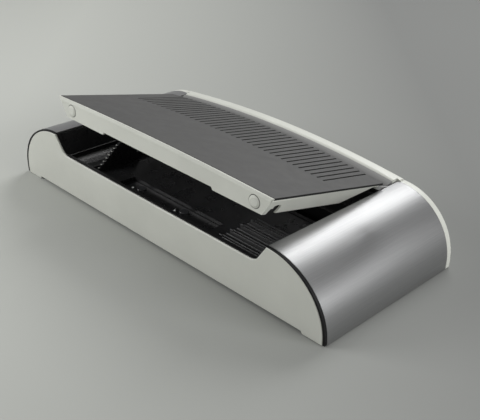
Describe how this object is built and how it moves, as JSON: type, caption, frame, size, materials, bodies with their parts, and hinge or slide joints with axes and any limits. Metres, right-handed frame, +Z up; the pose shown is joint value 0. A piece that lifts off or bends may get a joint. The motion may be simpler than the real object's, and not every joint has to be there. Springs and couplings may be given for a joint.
{
  "type": "thermal binding machine",
  "caption": "Low, wide desktop thermal binding machine with rounded metal end covers, a vented hinged lid, a black well with a heated slot, a stepped gauge and a cooling rack.",
  "frame": {"origin": "middle of the footprint, on the table under the feet", "axes": "+X to the right along the machine's length, +Y to its rear, +Z up"},
  "size_m": [0.531, 0.2404, 0.1385],
  "materials": {
    "light_plastic": "fine satin texture",
    "dark_plastic": "satin charcoal grey",
    "gloss_black": "polished black",
    "black_plastic": "black, fine texture",
    "brushed_silver": "brushed gunmetal silver lacquer",
    "steel": "zinc plated",
    "aluminium": "mill finish",
    "rubber": "matt",
    "heater_foil": "amber polyimide foil",
    "insulation": "pressed mica board",
    "lens": "clear moulding",
    "button_plastic": "polished",
    "board_green": "lacquered board",
    "component_plastic": "moulded",
    "brass": "plated",
    "lead_insulation": "smooth sleeve",
    "washer_plastic": "acetal"
  },
  "bodies": {
    "body": {"base_tray": "black_plastic", "rubber_feet": "rubber", "base_screws": "steel", "front_panel": "light_plastic", "front_bulkhead": "black_plastic", "left_end_cover": "brushed_silver", "right_end_cover": "brushed_silver", "rear_panel": "light_plastic", "rear_crown": "light_plastic", "hinge_cover": "dark_plastic", "well_liner": "gloss_black", "storage_tray": "gloss_black", "measuring_gauge": "gloss_black", "cooling_rack": "gloss_black", "slot_channel": "black_plastic", "heating_plate": "aluminium", "heater_element": "heater_foil", "heater_insulator": "insulation", "heater_brackets": "steel", "control_strip": "gloss_black", "indicator_lenses": "lens", "switch_board": "board_green", "tact_switches": "black_plastic", "light_pipes": "lens", "control_board": "board_green", "board_components": "component_plastic", "heat_sink": "aluminium", "buzzer": "black_plastic", "thermal_cutout": "steel", "power_inlet": "black_plastic", "inlet_pins": "brass", "switch_body": "black_plastic", "mains_leads": "lead_insulation", "heater_leads": "lead_insulation", "left_hinge_bracket": "steel", "right_hinge_bracket": "steel", "bracket_screws": "steel"},
    "lid": {"lid_panel": "dark_plastic", "lid_frame": "light_plastic", "lid_liner": "black_plastic", "lip_caps": "light_plastic", "catch_posts": "light_plastic", "hinge_pins": "steel", "friction_washers": "washer_plastic", "hinge_arms": "steel"},
    "standby_button_body": {"standby_button": "button_plastic"},
    "start_button_body": {"start_button": "button_plastic"},
    "rocker_body": {"power_rocker": "black_plastic"}
  },
  "joints": [
    {"name": "lid_hinge", "type": "hinge", "parent": "body", "child": "lid", "pos_m": [0, 0.103, 0.075], "axis": [-1, 0, 0], "range_deg": [-13.5, 71.5]},
    {"name": "standby_press", "type": "slide", "parent": "body", "child": "standby_button_body", "axis": [0, 0, -1], "range_m": [0, 0.0008], "stiffness_N_per_m": 600, "springref_m": -0.0005},
    {"name": "start_press", "type": "slide", "parent": "body", "child": "start_button_body", "axis": [0, 0, -1], "range_m": [0, 0.0008], "stiffness_N_per_m": 600, "springref_m": -0.0005},
    {"name": "power_switch", "type": "hinge", "parent": "body", "child": "rocker_body", "pos_m": [-0.16, 0.116, 0.034], "axis": [0, 0, -1], "range_deg": [0, 20]}
  ]
}
